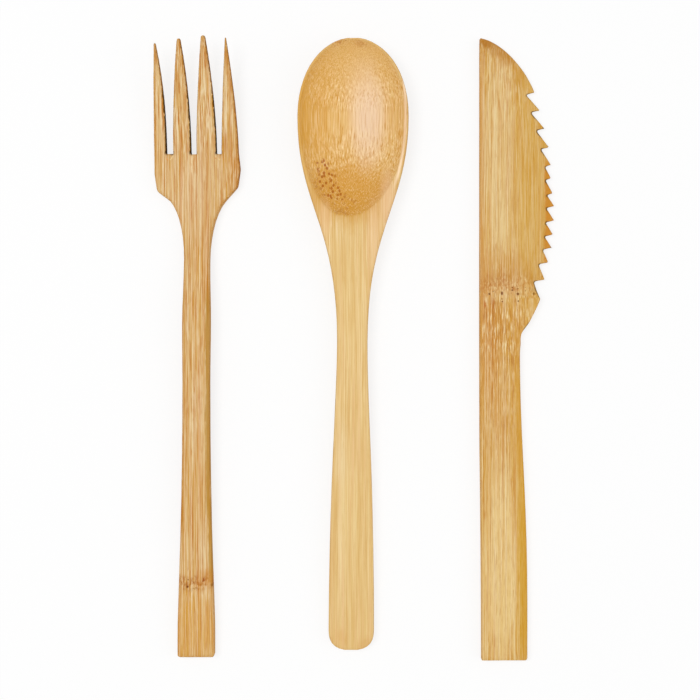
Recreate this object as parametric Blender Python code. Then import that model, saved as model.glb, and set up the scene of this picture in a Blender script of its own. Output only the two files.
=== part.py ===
"""Bamboo cutlery set: a fork, a spoon and a knife, each carved out of one strip of bamboo.

Units are metres and +Z is up. The three pieces lie side by side on the XY plane, right way up, their
heads towards +Y and their sawn handle ends towards -Y. The set is centred on the origin. Every piece
is drawn in its own plan first, with Y measured from the sawn end of its handle and X from its middle
line (from the back of the blade on the knife), and is then laid in its place.
"""

import math
from typing import Callable, NamedTuple, Sequence

import bmesh
import bpy
from mathutils import Vector

Point = tuple[float, float]


class Tine(NamedTuple):
    """One tine: width at its root and tip, sideways lean of the tip, how early it ends, bulge."""

    root_width: float
    tip_width: float
    lean: float
    shortfall: float
    bulge: float


class Tooth(NamedTuple):
    """One saw tooth: distance from the tooth before it, depth of its notch, set-back of its tip."""

    pitch: float
    depth: float
    set_back: float


# Curves are drawn with a pair of shares: how far the side keeps its course as it leaves one end and
# arrives at the other, each as a share of the curve's length.
EVEN_EASE = (0.40, 0.40)

# Fork, plan
FORK_LENGTH = 0.1966
FORK_END_WIDTH = 0.0118
FORK_END_STRAIGHT = 0.0070
FORK_HANDLE_EASE = (0.15, 0.60)
FORK_WAIST_WIDTH = 0.0087
FORK_WAIST_TO_SWELL = 0.0180
FORK_SWELL_WIDTH = 0.0090
FORK_SWELL_TO_NECK = 0.0203
FORK_NECK_WIDTH = 0.0082
FORK_NECK_TO_FLARE = 0.0191
FORK_FLARE_EASE = (0.45, 0.17)
FORK_FLARE_SWING = 0.60
FORK_FLARE_WIDTH = 0.0178
FORK_PALM_WIDTH = 0.0275
FORK_PALM_LENGTH = 0.0151
FORK_SHOULDER_LEFT = 0.0029
FORK_SHOULDER_RIGHT = 0.0045
FORK_SHOULDER_SLOPE = 0.0055
FORK_SHOULDER_RADIUS = 0.0022
FORK_SHOULDER_INSET = 0.0008
FORK_END_CORNER = 0.0008
TINE_LENGTH = 0.0361
SLOT_WIDTHS = (0.0020, 0.0016, 0.0014)
TINES = (
    Tine(0.00405, 0.0006, -0.0011, 0.0023, 2.3),
    Tine(0.00580, 0.0012, -0.0005, 0.0009, 2.1),
    Tine(0.00655, 0.0014, -0.0006, 0.0000, 1.8),
    Tine(0.00555, 0.0005, -0.0010, 0.0006, 1.5),
)

# Fork, side view. The rise is met on the way to the arch and the lift on the way to the tips: the
# first number is a share of that length, the second a share of that height.
FORK_END_THICKNESS = 0.0046
FORK_NECK_THICKNESS = 0.0043
FORK_PALM_THICKNESS = 0.0039
FORK_TIP_THICKNESS = 0.0017
FORK_ARCH = 0.0027
FORK_RISE = (0.45, 0.62)
FORK_BELLY_BEHIND_SLOTS = 0.0140
FORK_TIP_LIFT = 0.0099
FORK_LIFT = (0.35, 0.42)
FORK_ARRIS = 0.0006
TINE_ARRIS = 0.0002

# Fork, distances from the sawn end
SLOT_END_AT = FORK_LENGTH - TINE_LENGTH
FORK_BELLY_AT = SLOT_END_AT - FORK_BELLY_BEHIND_SLOTS
FORK_FLARE_AT = SLOT_END_AT - FORK_PALM_LENGTH
FORK_NECK_AT = FORK_FLARE_AT - FORK_NECK_TO_FLARE
FORK_SWELL_AT = FORK_NECK_AT - FORK_SWELL_TO_NECK
FORK_WAIST_AT = FORK_SWELL_AT - FORK_WAIST_TO_SWELL

# Spoon, plan
SPOON_LENGTH = 0.1940
BOWL_WIDTH = 0.0352
BOWL_FRONT = 0.0246
BOWL_LENGTH = 0.0600
SPOON_NECK_WIDTH = 0.0098
SPOON_NECK_AT = 0.0985
SPOON_END_WIDTH = 0.0146
SPOON_END_AT = 0.0064
SPOON_END_ROUND = 0.0050
SPOON_END_SQUARENESS = 0.78
SPOON_HANDLE_EASE = (0.50, 0.20)
BOWL_SIDE_EASE = (0.53, 0.40)
BOWL_FRONT_EASE = (0.61, 0.54)

# Spoon, side view and sections. The bowl's underside is given as shares of the front's length ahead
# of the widest place and of the bowl's thickness there. The fullness of a section is the exponent of
# its underside's curve: 2 is an ellipse, more is squarer.
SPOON_END_THICKNESS = 0.0042
SPOON_NECK_THICKNESS = 0.0049
BOWL_THICKNESS = 0.0090
BOWL_BACK_SHARE = 0.86
BOWL_UNDERSIDE = ((-0.4, 1.0), (0.5, 0.80), (0.9, 0.45))
SPOON_TIP_THICKNESS = 0.0018
SPOON_NECK_DECK = 0.0072
BOWL_BACK_DECK = 0.0083
SPOON_TIP_DECK = 0.0104
SPOON_SIDE = 0.0016
SPOON_ARRIS = 0.0005
SPOON_END_FULLNESS = 4.0
SPOON_NECK_FULLNESS = 3.4
BOWL_FULLNESS = 2.2
HOLLOW_WIDTH = 0.0340
HOLLOW_FRONT = 0.0240
HOLLOW_RIM = 0.0004
HOLLOW_BACK = 0.0317
HOLLOW_DEPTH = 0.0068
HOLLOW_DRIFT = -0.0014
HOLLOW_STEEPNESS = 0.35

# Spoon, distances from the sawn end
BOWL_WIDEST_AT = SPOON_LENGTH - BOWL_FRONT
BOWL_BACK_AT = SPOON_LENGTH - BOWL_LENGTH
HOLLOW_WIDEST_AT = SPOON_LENGTH - HOLLOW_RIM - HOLLOW_FRONT

# Knife, plan
KNIFE_LENGTH = 0.1988
KNIFE_END_WIDTH = 0.0147
KNIFE_END_FULL_AT = 0.0200
KNIFE_END_CORNER = 0.0008
KNIFE_WAIST_WIDTH = 0.0129
KNIFE_BACK_TAPER = 0.0006
HEEL_DEPTH = 0.0193
HEEL_BEHIND_TEETH = 0.0063
HEEL_RUN = 0.0107
HEEL_KNEE = 0.0011
HEEL_BLEND = 0.0085
HEEL_FOOT_RADIUS = 0.020
HEEL_KNEE_RADIUS = 0.006
HEEL_RADIUS = 0.0006
KNIFE_HANDLE_EASE = (0.40, 0.30)
BLADE_DEPTH = 0.0241
BLADE_DEEPEST_BEHIND_NOSE = 0.0383
BLADE_FRONT_FALL = 0.0064
BLADE_BACK_FALL = 0.0031
NOSE_LENGTH = 0.0175
NOSE_LEAVE = (0.147, 0.39)
NOSE_ARRIVE = (0.45, 0.135)
TOOTH_UNDERCUT = 0.0006
NOSE_RADIUS = 0.0011
TEETH = (
    Tooth(0.0000, 0.0029, 0.0000),
    Tooth(0.0057, 0.0031, 0.0000),
    Tooth(0.0058, 0.0028, 0.0000),
    Tooth(0.0060, 0.0027, -0.0002),
    Tooth(0.0056, 0.0020, 0.0001),
    Tooth(0.0043, 0.0018, 0.0006),
    Tooth(0.0048, 0.0019, 0.0004),
    Tooth(0.0041, 0.0027, 0.0000),
    Tooth(0.0046, 0.0029, 0.0000),
    Tooth(0.0045, 0.0028, 0.0001),
    Tooth(0.0042, 0.0030, 0.0000),
    Tooth(0.0047, 0.0033, 0.0002),
    Tooth(0.0055, 0.0036, 0.0000),
)

# Knife, distances from the sawn end
FIRST_TOOTH_AT = KNIFE_LENGTH - NOSE_LENGTH
BLADE_DEEPEST_AT = FIRST_TOOTH_AT - BLADE_DEEPEST_BEHIND_NOSE
LAST_TOOTH_AT = FIRST_TOOTH_AT - sum(tooth.pitch for tooth in TEETH)
HEEL_AT = LAST_TOOTH_AT - HEEL_BEHIND_TEETH
HEEL_FOOT_AT = HEEL_AT - HEEL_RUN
KNIFE_WAIST_AT = HEEL_FOOT_AT - HEEL_BLEND

# Knife, section
KNIFE_THICKNESS = 0.0040
BLADE_EDGE_THICKNESS = 0.0012
BLADE_TIP_THICKNESS = 0.0028
BLADE_BEVEL_WIDTH = 0.0085
KNIFE_ARRIS = 0.0006
SQUARE_EDGED_WIDTH = 0.0170

# Finish
FORK_COLOUR = (0.69, 0.41, 0.17)
SPOON_COLOUR = (0.76, 0.48, 0.21)
KNIFE_COLOUR = (0.70, 0.43, 0.18)
BAMBOO_ROUGHNESS = 0.50

# Lay of the set on the table
FORK_TO_SPOON = 0.0182
SPOON_TO_KNIFE = 0.0227
FORK_SHIFT = 0.0001
SPOON_SHIFT = 0.0009
FORK_TURN = math.radians(-0.16)
SPOON_TURN = math.radians(-0.20)

# Fineness of the facets
HANDLE_STEP = 0.0060
HEAD_STEP = 0.0030
ARC_STEP = math.radians(18)
SHORT_CURVE_STEPS = 4
CURVE_STEPS = 7
LONG_CURVE_STEPS = 10
SECTION_STEPS = 9
ARRIS_STEPS = 2
HOLLOW_SEGMENTS = 64
HOLLOW_RINGS = 36
ROUND_ANGLE = math.radians(38)
PROBE = 0.0005
TINY = 1e-6


def bezier(start: Point, leave: Point, arrive: Point, end: Point, steps: int) -> list[Point]:
    """Points of one cubic curve from start to end, with the start and without the end."""
    points = []
    for step in range(steps):
        t = step / steps
        s = 1.0 - t
        weights = (s * s * s, 3 * s * s * t, 3 * s * t * t, t * t * t)
        points.append(tuple(
            sum(weight * corner[axis] for weight, corner in zip(weights, (start, leave, arrive, end)))
            for axis in range(2)
        ))
    return points


def ease(start: Point, end: Point, shares: tuple[float, float], steps: int) -> list[Point]:
    """A side that runs along Y at both its ends."""
    length = end[1] - start[1]
    leave = (start[0], start[1] + shares[0] * length)
    arrive = (end[0], end[1] - shares[1] * length)
    return bezier(start, leave, arrive, end, steps)


def fillet(before: Point, corner: Point, after: Point, radius: float) -> list[Point]:
    """The corner rounded by an arc that touches both its sides and leaves half of each free."""
    into = Vector(corner) - Vector(before)
    away = Vector(after) - Vector(corner)
    turn = into.angle_signed(away)
    reach = min(radius * math.tan(abs(turn) / 2), (into.length - TINY) / 2, (away.length - TINY) / 2)
    radius = reach / math.tan(abs(turn) / 2)
    start = Vector(corner) - into.normalized() * reach
    side = math.copysign(1.0, turn)
    centre = start + Vector((into.y, -into.x)).normalized() * radius * side
    spoke = start - centre
    steps = max(2, math.ceil(abs(turn) / ARC_STEP))
    points = []
    for step in range(steps + 1):
        angle = -turn * step / steps
        cos, sin = math.cos(angle), math.sin(angle)
        points.append((
            centre.x + spoke.x * cos - spoke.y * sin,
            centre.y + spoke.x * sin + spoke.y * cos,
        ))
    return points


def through(stations: Sequence[Point]) -> Callable[[float], float]:
    """A smooth line through (distance, value) stations that never overshoots one of them."""
    spans = list(zip(stations, stations[1:]))
    slopes = [(after[1] - before[1]) / (after[0] - before[0]) for before, after in spans]
    tangents = [slopes[0]]
    for left, right in zip(slopes, slopes[1:]):
        tangents.append(2 * left * right / (left + right) if left * right > 0 else 0.0)
    tangents.append(slopes[-1])

    def value(distance: float) -> float:
        place = min(max(distance, stations[0][0]), stations[-1][0])
        index = next(i for i, span in enumerate(spans) if place <= span[1][0])
        (x0, y0), (x1, y1) = spans[index]
        width = x1 - x0
        t = (place - x0) / width
        rise, fall = tangents[index] * width, tangents[index + 1] * width
        blend = t * t * (3 - 2 * t)
        return y0 + (y1 - y0) * blend + t * (1 - t) * ((1 - t) * rise - t * fall)

    return value


def even_cuts(start: float, end: float, step: float) -> list[float]:
    """Distances between start and end, evenly spaced by about step, both ends left out."""
    count = max(1, round((end - start) / step))
    return [start + (end - start) * index / count for index in range(1, count)]


def board(outline: Sequence[Point], across: Sequence[float], along: Sequence[float]) -> bmesh.types.BMesh:
    """A closed board of the outline, from z = 0 to z = 1, cut at each Y of across and X of along."""
    mesh = bmesh.new()
    face = mesh.faces.new([mesh.verts.new((x, y, 0.0)) for x, y in outline])
    raised = bmesh.ops.extrude_face_region(mesh, geom=[face])["geom"]
    lid = [item for item in raised if isinstance(item, bmesh.types.BMVert)]
    bmesh.ops.translate(mesh, verts=lid, vec=(0.0, 0.0, 1.0))
    cuts = [((0.0, place, 0.0), (0.0, 1.0, 0.0)) for place in across]
    cuts += [((place, 0.0, 0.0), (1.0, 0.0, 0.0)) for place in along]
    for point, normal in cuts:
        geometry = mesh.verts[:] + mesh.edges[:] + mesh.faces[:]
        bmesh.ops.bisect_plane(mesh, geom=geometry, dist=TINY, plane_co=point, plane_no=normal)
    bmesh.ops.recalc_face_normals(mesh, faces=mesh.faces)
    return mesh


def weigh_arrises(mesh: bmesh.types.BMesh, weight: Callable[[Vector], float]) -> None:
    """Give each long arris, where a broad face meets a side, the weight for its middle point."""
    layer = mesh.edges.layers.float.new("bevel_weight_edge")
    for edge in mesh.edges:
        upright = [abs(face.normal.z) < 0.5 for face in edge.link_faces]
        if len(upright) == 2 and upright[0] != upright[1]:
            edge[layer] = weight((edge.verts[0].co + edge.verts[1].co) / 2)


def bamboo(name: str, colour: tuple[float, float, float]) -> bpy.types.Material:
    """A dry, bare bamboo of one colour."""
    material = bpy.data.materials.new(name)
    material.use_nodes = True
    shader = material.node_tree.nodes["Principled BSDF"]
    shader.inputs["Base Color"].default_value = (*colour, 1.0)
    shader.inputs["Roughness"].default_value = BAMBOO_ROUGHNESS
    shader.inputs["Metallic"].default_value = 0.0
    return material


def add_piece(name: str, mesh: bmesh.types.BMesh, material: bpy.types.Material) -> bpy.types.Object:
    """The finished solid as one object in the scene, smooth over its rounded faces."""
    data = bpy.data.meshes.new(name)
    mesh.to_mesh(data)
    mesh.free()
    data.shade_smooth()
    data.set_sharp_from_angle(angle=ROUND_ANGLE)
    data.materials.append(material)
    piece = bpy.data.objects.new(name, data)
    bpy.context.collection.objects.link(piece)
    return piece


def soften_arrises(piece: bpy.types.Object, radius: float) -> None:
    """Round the weighted arrises, the heaviest to the radius."""
    bevel = piece.modifiers.new("arrises", "BEVEL")
    bevel.limit_method = "WEIGHT"
    bevel.width = radius
    bevel.segments = ARRIS_STEPS
    bevel.use_clamp_overlap = True


def fork_side(sign: float, shoulder: float) -> list[Point]:
    """One edge of the fork from the sawn end up to the widest part of the palm."""
    end = sign * FORK_END_WIDTH / 2
    waist = sign * FORK_WAIST_WIDTH / 2
    swell = sign * FORK_SWELL_WIDTH / 2
    neck = sign * FORK_NECK_WIDTH / 2
    flare = sign * FORK_FLARE_WIDTH / 2
    palm = sign * FORK_PALM_WIDTH / 2
    corner = (palm - sign * FORK_SHOULDER_INSET, FORK_FLARE_AT + shoulder)
    palm_point = (palm, corner[1] + FORK_SHOULDER_SLOPE)
    side = fillet((0.0, 0.0), (end, 0.0), (end, FORK_END_STRAIGHT), FORK_END_CORNER)
    straight_end = (end, FORK_END_STRAIGHT)
    side += ease(straight_end, (waist, FORK_WAIST_AT), FORK_HANDLE_EASE, LONG_CURVE_STEPS)
    side += ease((waist, FORK_WAIST_AT), (swell, FORK_SWELL_AT), EVEN_EASE, SHORT_CURVE_STEPS)
    side += ease((swell, FORK_SWELL_AT), (neck, FORK_NECK_AT), EVEN_EASE, SHORT_CURVE_STEPS)
    leave, arrive = FORK_FLARE_EASE
    side += bezier(
        (neck, FORK_NECK_AT),
        (neck, FORK_NECK_AT + leave * FORK_NECK_TO_FLARE),
        (flare - FORK_FLARE_SWING * (flare - neck), FORK_FLARE_AT - arrive * FORK_NECK_TO_FLARE),
        (flare, FORK_FLARE_AT),
        CURVE_STEPS,
    )
    side.append((flare, FORK_FLARE_AT))
    side += fillet((flare, FORK_FLARE_AT), corner, palm_point, FORK_SHOULDER_RADIUS)
    side.append(palm_point)
    return side


def tine_outline(left: float, tine: Tine) -> list[Point]:
    """The tine's edge from its left root round the tip to its right root, left of it first."""
    tip_at = FORK_LENGTH - tine.shortfall
    middle = left + tine.root_width / 2 + tine.lean
    tip_left, tip_right = middle - tine.tip_width / 2, middle + tine.tip_width / 2
    shares = [step / CURVE_STEPS for step in range(CURVE_STEPS)]
    right = left + tine.root_width
    climb, fall = [], []
    for share in shares:
        height = SLOT_END_AT + (tip_at - SLOT_END_AT) * share
        drawn_in = share ** tine.bulge
        climb.append((left + (tip_left - left) * drawn_in, height))
        fall.append((right + (tip_right - right) * drawn_in, height))
    cap = fillet(climb[-1], (tip_left, tip_at), (tip_right, tip_at), tine.tip_width / 2)
    cap += fillet((tip_left, tip_at), (tip_right, tip_at), fall[-1], tine.tip_width / 2)[1:]
    return climb + cap + fall[::-1]


def fork_outline() -> list[Point]:
    """The fork's plan, anticlockwise from the middle of its sawn end."""
    right = fork_side(1.0, FORK_SHOULDER_RIGHT)
    left = fork_side(-1.0, FORK_SHOULDER_LEFT)
    head = []
    edge = -FORK_PALM_WIDTH / 2
    for tine, slot in zip(TINES, (*SLOT_WIDTHS, 0.0)):
        head += tine_outline(edge, tine)
        edge += tine.root_width + slot
    return right + head[::-1] + left[::-1]


def make_fork() -> bpy.types.Object:
    """Four tapered tines on a broad palm, a waisted handle, all in one gently arched strip."""
    underside = through((
        (0.0, 0.0),
        (FORK_RISE[0] * FORK_SWELL_AT, FORK_RISE[1] * FORK_ARCH),
        (FORK_SWELL_AT, FORK_ARCH),
        (FORK_BELLY_AT, 0.0),
        (SLOT_END_AT + FORK_LIFT[0] * TINE_LENGTH, FORK_LIFT[1] * FORK_TIP_LIFT),
        (FORK_LENGTH, FORK_TIP_LIFT),
    ))
    thickness = through((
        (0.0, FORK_END_THICKNESS),
        (FORK_NECK_AT, FORK_NECK_THICKNESS),
        (FORK_BELLY_AT, FORK_PALM_THICKNESS),
        (FORK_LENGTH, FORK_TIP_THICKNESS),
    ))

    def middle(distance: float) -> float:
        return underside(distance) + thickness(distance) / 2

    cuts = even_cuts(0.0, FORK_NECK_AT, HANDLE_STEP) + [FORK_NECK_AT]
    cuts += even_cuts(FORK_NECK_AT, SLOT_END_AT, HEAD_STEP)
    cuts += even_cuts(SLOT_END_AT, FORK_LENGTH, HEAD_STEP)
    mesh = board(fork_outline(), cuts, ())
    tine_weight = TINE_ARRIS / FORK_ARRIS
    weigh_arrises(mesh, lambda place: tine_weight if place.y > SLOT_END_AT - HEAD_STEP else 1.0)
    for vertex in mesh.verts:
        x, y, level = vertex.co
        slope = math.atan2(middle(y + PROBE) - middle(y - PROBE), 2 * PROBE)
        offset = (level - 0.5) * thickness(y)
        vertex.co = (x, y - offset * math.sin(slope), middle(y) + offset * math.cos(slope))
    fork = add_piece("fork", mesh, bamboo("fork_bamboo", FORK_COLOUR))
    soften_arrises(fork, FORK_ARRIS)
    return fork


def spoon_stations() -> list[Point]:
    """Half widths of the spoon with their distances, from the sawn end to the tip of the bowl."""
    end = (SPOON_END_WIDTH / 2, SPOON_END_AT)
    neck = (SPOON_NECK_WIDTH / 2, SPOON_NECK_AT)
    widest = (BOWL_WIDTH / 2, BOWL_WIDEST_AT)
    sides = bezier(
        (0.0, 0.0),
        (SPOON_END_SQUARENESS * end[0], 0.0),
        (end[0], SPOON_END_AT - SPOON_END_SQUARENESS * SPOON_END_ROUND),
        end,
        CURVE_STEPS,
    )
    sides += ease(end, neck, SPOON_HANDLE_EASE, LONG_CURVE_STEPS)
    sides += ease(neck, widest, BOWL_SIDE_EASE, 2 * LONG_CURVE_STEPS)
    sides += bezier(
        widest,
        (widest[0], widest[1] + BOWL_FRONT_EASE[0] * BOWL_FRONT),
        (BOWL_FRONT_EASE[1] * widest[0], SPOON_LENGTH),
        (0.0, SPOON_LENGTH),
        2 * CURVE_STEPS,
    )
    return sides[1:]


def spoon_section(width: float, deck: float, thickness: float, fullness: float) -> list[Point]:
    """One cross-section in X and Z, anticlockwise from above: a flat top on a rounded underside."""
    side = min(SPOON_SIDE, thickness / 2)
    arris = min(SPOON_ARRIS, side / 3, width / 3)
    quarter = math.pi / 2
    half = []
    for step in range(ARRIS_STEPS + 1):
        angle = quarter * step / ARRIS_STEPS
        half.append((width - arris + arris * math.sin(angle), deck - arris + arris * math.cos(angle)))
    for step in range(SECTION_STEPS):
        angle = quarter * step / SECTION_STEPS
        half.append((
            width * math.cos(angle) ** (2 / fullness),
            deck - side - (thickness - side) * math.sin(angle) ** (2 / fullness),
        ))
    bottom = (0.0, deck - thickness)
    return half + [bottom] + [(-x, z) for x, z in half[::-1]]


def loft(sections: Sequence[tuple[float, Sequence[Point]]]) -> bmesh.types.BMesh:
    """A closed solid through cross-sections of as many points each, given with their Y."""
    mesh = bmesh.new()
    rings = [[mesh.verts.new((x, y, z)) for x, z in section] for y, section in sections]
    for ring, following in zip(rings, rings[1:]):
        for index in range(len(ring)):
            nearby = (index + 1) % len(ring)
            mesh.faces.new((ring[index], ring[nearby], following[nearby], following[index]))
    mesh.faces.new(rings[0])
    mesh.faces.new(rings[-1])
    bmesh.ops.recalc_face_normals(mesh, faces=mesh.faces)
    return mesh


def hollow_cutter(deck: Callable[[float], float]) -> bpy.types.Object:
    """An egg that is as deep below the deck as the hollow and meets it along the hollow's edge."""
    rise = 1 / math.sqrt(1 - HOLLOW_STEEPNESS ** 2)
    height = HOLLOW_DEPTH / (1 - HOLLOW_STEEPNESS)
    mesh = bmesh.new()
    bmesh.ops.create_uvsphere(mesh, u_segments=HOLLOW_SEGMENTS, v_segments=HOLLOW_RINGS, radius=1.0)
    for vertex in mesh.verts:
        x, y, z = vertex.co
        reach = HOLLOW_FRONT if y > 0 else HOLLOW_BACK
        drift = HOLLOW_DRIFT * max(0.0, -y * rise) ** 2
        across = x * rise * HOLLOW_WIDTH / 2 + drift
        along = HOLLOW_WIDEST_AT + y * rise * reach
        vertex.co = (across, along, deck(along) + height * (HOLLOW_STEEPNESS + z))
    cutter = add_piece("hollow_cutter", mesh, bamboo("cut_bamboo", SPOON_COLOUR))
    cutter.hide_render = True
    cutter.display_type = "WIRE"
    return cutter


def make_spoon() -> bpy.types.Object:
    """An egg-shaped bowl carved into a flat-topped strip that runs back to a waisted handle."""
    deck = through((
        (0.0, SPOON_END_THICKNESS),
        (SPOON_NECK_AT, SPOON_NECK_DECK),
        (BOWL_BACK_AT, BOWL_BACK_DECK),
        (SPOON_LENGTH, SPOON_TIP_DECK),
    ))
    bowl = (
        (BOWL_WIDEST_AT + ahead * BOWL_FRONT, share * BOWL_THICKNESS) for ahead, share in BOWL_UNDERSIDE
    )
    thickness = through((
        (0.0, SPOON_END_THICKNESS),
        (SPOON_NECK_AT, SPOON_NECK_THICKNESS),
        (BOWL_BACK_AT, BOWL_BACK_SHARE * BOWL_THICKNESS),
        *bowl,
        (SPOON_LENGTH, SPOON_TIP_THICKNESS),
    ))
    fullness = through((
        (0.0, SPOON_END_FULLNESS),
        (SPOON_NECK_AT, SPOON_NECK_FULLNESS),
        (BOWL_WIDEST_AT, BOWL_FULLNESS),
        (SPOON_LENGTH, BOWL_FULLNESS),
    ))
    sections = [
        (y, spoon_section(width, deck(y), thickness(y), fullness(y))) for width, y in spoon_stations()
    ]
    spoon = add_piece("spoon", loft(sections), bamboo("spoon_bamboo", SPOON_COLOUR))
    hollow = spoon.modifiers.new("hollow", "BOOLEAN")
    hollow.operation = "DIFFERENCE"
    hollow.solver = "EXACT"
    hollow.object = hollow_cutter(deck)
    hollow.object.parent = spoon
    return spoon


def blade_edge(distance: float) -> float:
    """How far the line of the tooth tips bows out from the back at a distance along the knife."""
    offset = distance - BLADE_DEEPEST_AT
    if offset > 0:
        return BLADE_DEPTH - BLADE_FRONT_FALL * (offset / BLADE_DEEPEST_BEHIND_NOSE) ** 2
    return BLADE_DEPTH - BLADE_BACK_FALL * (offset / (BLADE_DEEPEST_AT - LAST_TOOTH_AT)) ** 2


def saw_teeth() -> list[Point]:
    """Tip and notch of every tooth, from the heel to the nose."""
    points = []
    tip_at = FIRST_TOOTH_AT
    for tooth in TEETH:
        tip_at -= tooth.pitch
        tip = (blade_edge(tip_at) - tooth.set_back, tip_at)
        points.append(tip)
        points.append((tip[0] - tooth.depth, tip_at - TOOTH_UNDERCUT))
    return points[::-1]


def nose_curve() -> list[Point]:
    """The rounded front of the blade, from the first tooth up to the point at the back."""
    first = (blade_edge(FIRST_TOOTH_AT), FIRST_TOOTH_AT)
    point = (NOSE_RADIUS, KNIFE_LENGTH)
    run = first[0] - point[0]
    return bezier(
        first,
        (first[0] - NOSE_LEAVE[0] * run, first[1] + NOSE_LEAVE[1] * NOSE_LENGTH),
        (point[0] + NOSE_ARRIVE[0] * run, point[1] - NOSE_ARRIVE[1] * NOSE_LENGTH),
        point,
        2 * CURVE_STEPS,
    )


def knife_outline() -> list[Point]:
    """The knife's plan, anticlockwise from the back corner of its sawn end."""
    taper = KNIFE_BACK_TAPER
    corner = (taper + KNIFE_END_WIDTH, 0.0)
    full = (taper + KNIFE_END_WIDTH, KNIFE_END_FULL_AT)
    waist = (KNIFE_WAIST_WIDTH, KNIFE_WAIST_AT)
    foot = (KNIFE_WAIST_WIDTH, HEEL_FOOT_AT - HEEL_BLEND / 2)
    knee = (KNIFE_WAIST_WIDTH + HEEL_KNEE, HEEL_FOOT_AT)
    heel = (HEEL_DEPTH, HEEL_AT)
    teeth = saw_teeth()
    side = fillet((taper, 0.0), corner, full, KNIFE_END_CORNER)
    side += ease(full, waist, KNIFE_HANDLE_EASE, LONG_CURVE_STEPS)
    side.append(waist)
    side += fillet(waist, foot, knee, HEEL_FOOT_RADIUS)
    side += fillet(foot, knee, heel, HEEL_KNEE_RADIUS)
    side += fillet(knee, heel, teeth[0], HEEL_RADIUS)
    side += teeth[:-1]
    side += nose_curve()
    side += fillet((NOSE_RADIUS, KNIFE_LENGTH), (0.0, KNIFE_LENGTH), (0.0, KNIFE_WAIST_AT), NOSE_RADIUS)
    side += ease((0.0, KNIFE_WAIST_AT), (taper, 0.0), EVEN_EASE, LONG_CURVE_STEPS)
    side.append((taper, 0.0))
    return side


def make_knife() -> bpy.types.Object:
    """A flat strip with thirteen saw teeth cut into the bowed front edge of its blade."""
    plan = nose_curve()
    nose = through(sorted((y, x) for x, y in plan + [(0.0, KNIFE_LENGTH)]))
    body = through(((HEEL_AT, KNIFE_THICKNESS), (KNIFE_LENGTH, BLADE_TIP_THICKNESS)))

    def thickness(x: float, y: float) -> float:
        if y < HEEL_AT:
            return KNIFE_THICKNESS
        edge = nose(y) if y > FIRST_TOOTH_AT else blade_edge(y)
        share = min(max((edge - x) / BLADE_BEVEL_WIDTH, 0.0), 1.0)
        start = min(1.0, (y - HEEL_AT) / HEAD_STEP)
        thin = BLADE_EDGE_THICKNESS + (body(y) - BLADE_EDGE_THICKNESS) * share
        return KNIFE_THICKNESS + (thin - KNIFE_THICKNESS) * start

    across = even_cuts(0.0, HEEL_AT, 2 * HANDLE_STEP) + [HEEL_AT]
    across += even_cuts(HEEL_AT, KNIFE_LENGTH, HEAD_STEP)
    along = even_cuts(BLADE_DEPTH - 2 * BLADE_BEVEL_WIDTH, BLADE_DEPTH, BLADE_BEVEL_WIDTH / 2)
    mesh = board(knife_outline(), across, along)
    teeth = saw_teeth()

    def arris(place: Vector) -> float:
        toothed = teeth[0][1] < place.y and place.x > BLADE_DEPTH - SQUARE_EDGED_WIDTH
        return 0.0 if toothed else 1.0

    weigh_arrises(mesh, arris)
    for vertex in mesh.verts:
        x, y, level = vertex.co
        vertex.co.z = KNIFE_THICKNESS / 2 + (level - 0.5) * thickness(x, y)
    knife = add_piece("knife", mesh, bamboo("knife_bamboo", KNIFE_COLOUR))
    soften_arrises(knife, KNIFE_ARRIS)
    return knife


def lay_out(fork: bpy.types.Object, spoon: bpy.types.Object, knife: bpy.types.Object) -> None:
    """Lay the pieces side by side on z = 0 with their gaps, the whole set centred on the origin."""
    whole = FORK_PALM_WIDTH + FORK_TO_SPOON + BOWL_WIDTH + SPOON_TO_KNIFE + BLADE_DEPTH
    fork_middle = -whole / 2 + FORK_PALM_WIDTH / 2
    spoon_middle = fork_middle + FORK_PALM_WIDTH / 2 + FORK_TO_SPOON + BOWL_WIDTH / 2
    knife_back = spoon_middle + BOWL_WIDTH / 2 + SPOON_TO_KNIFE
    places = (
        (fork, fork_middle, FORK_LENGTH, FORK_SHIFT, FORK_TURN),
        (spoon, spoon_middle, SPOON_LENGTH, SPOON_SHIFT, SPOON_TURN),
        (knife, knife_back, KNIFE_LENGTH, 0.0, 0.0),
    )
    shaped = bpy.context.evaluated_depsgraph_get()
    for piece, x, length, shift, turn in places:
        lean = length * math.sin(-turn)
        lowest = min(corner[2] for corner in piece.evaluated_get(shaped).bound_box)
        piece.location = (x - lean, shift - length / 2, -lowest)
        piece.rotation_euler = (0.0, 0.0, turn)


def main() -> None:
    """Clear the scene and build the set."""
    for item in list(bpy.data.objects):
        bpy.data.objects.remove(item)
    lay_out(make_fork(), make_spoon(), make_knife())


main()
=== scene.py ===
"""Looks of the bamboo cutlery set: a fork, a spoon and a knife on a pale table.

Each piece starts as a copy of its solid, gets the fine surface of hand-finished bamboo and is dressed
in a procedural finish whose fibres run through it along Y. Meshes are in metres. Sizes and places of
the finishes are in millimetres, measured in the frame of the set: X across, Y along, Z up.
"""

import logging
import math
from dataclasses import dataclass, field, replace
from enum import Enum

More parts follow.
